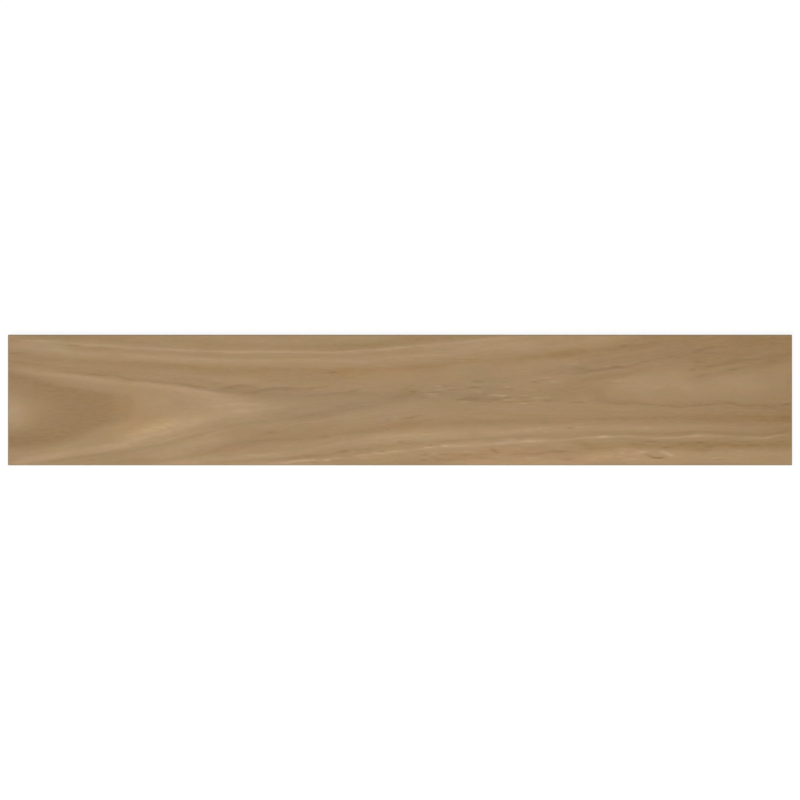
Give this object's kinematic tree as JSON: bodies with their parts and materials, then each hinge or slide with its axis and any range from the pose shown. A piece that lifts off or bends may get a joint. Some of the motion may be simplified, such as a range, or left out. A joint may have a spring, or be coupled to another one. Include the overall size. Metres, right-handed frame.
{
  "type": "wood look porcelain plank tile",
  "caption": "Long thin rectangular floor and wall tile with a flat wood-grain face, ground straight edges with a small bevel, and a grid of shallow recesses in its back.",
  "frame": {"origin": "middle of the back, on the plane of the rib tops that the tile lies on", "axes": "+X along the plank, +Y across it, +Z out of the printed face"},
  "size_m": [1.2, 0.2, 0.009],
  "materials": {
    "printed_porcelain": "matte"
  },
  "bodies": {
    "root": {"porcelain_plank_tile": "printed_porcelain"}
  },
  "joints": []
}
